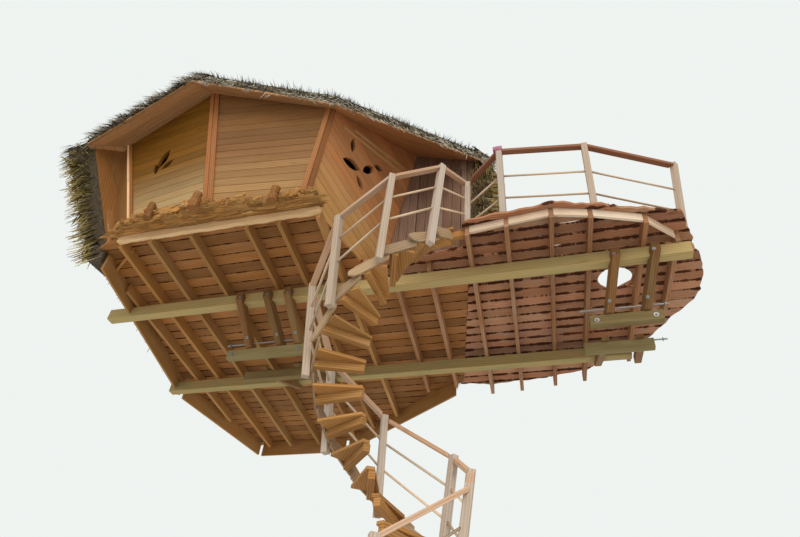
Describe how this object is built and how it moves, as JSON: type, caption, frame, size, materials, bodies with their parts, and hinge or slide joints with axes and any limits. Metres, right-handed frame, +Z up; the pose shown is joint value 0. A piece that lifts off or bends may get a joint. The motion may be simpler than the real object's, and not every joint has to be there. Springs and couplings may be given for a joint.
{
  "type": "tree house with spiral stair",
  "caption": "Polygonal board cabin with a thatched roof and a railed live-edge deck on two beams, reached by a spiral stair that winds round a trunk.",
  "frame": {"origin": "centre of the face of the right-hand front collar timber that bears on the trunk, 5.44 m above the ground", "axes": "+X along the main beams towards the deck end, +Y from the front of the house to its back, +Z up"},
  "size_m": [7.7484, 6.2842, 9.8207],
  "materials": {
    "beam_timber": "sawn, slightly green",
    "orange_timber": "sawn larch",
    "deck_board": "rough sawn",
    "wall_board": "planed tongue and groove",
    "door_board": "dark boards",
    "pale_timber": "peeled, pale",
    "thatch": "dry reed thatch",
    "steel": "zinc plated"
  },
  "bodies": {
    "house": {"front_beam": "beam_timber", "back_beam": "beam_timber", "right_front_yoke": "beam_timber", "right_back_yoke": "beam_timber", "left_front_yoke": "beam_timber", "left_back_yoke": "beam_timber", "yoke_struts": "orange_timber", "tie_rods": "steel", "deck_joists": "deck_board", "cabin_joists": "orange_timber", "deck_floor": "deck_board", "cabin_floor": "orange_timber", "deck_rim": "pale_timber", "cabin_skirt": "orange_timber", "front_ledge": "pale_timber", "ledge_board": "deck_board", "front_left_wall": "wall_board", "front_middle_wall": "wall_board", "front_right_wall": "wall_board", "door_wall": "door_board", "right_wall": "wall_board", "rear_right_wall": "wall_board", "back_wall": "wall_board", "rear_left_wall": "wall_board", "left_wall": "wall_board", "left_cheek": "wall_board", "wall_thatch": "thatch", "door_hinges": "steel", "roof_lining": "wall_board", "thatch_roof": "thatch", "stair_treads": "orange_timber", "stair_bearers": "orange_timber", "stair_planks": "pale_timber", "stair_posts": "pale_timber", "stair_handrail": "pale_timber", "stair_rods": "pale_timber", "deck_posts": "pale_timber", "deck_handrail": "orange_timber", "deck_rods": "pale_timber"},
    "door": {"cabin_door": "door_board", "hinge_straps": "steel"}
  },
  "joints": [
    {"name": "door_hinge", "type": "hinge", "parent": "house", "child": "door", "pos_m": [-2.193, -0.143, 0.766], "axis": [0, 0, 1], "range_deg": [0, 90]}
  ]
}
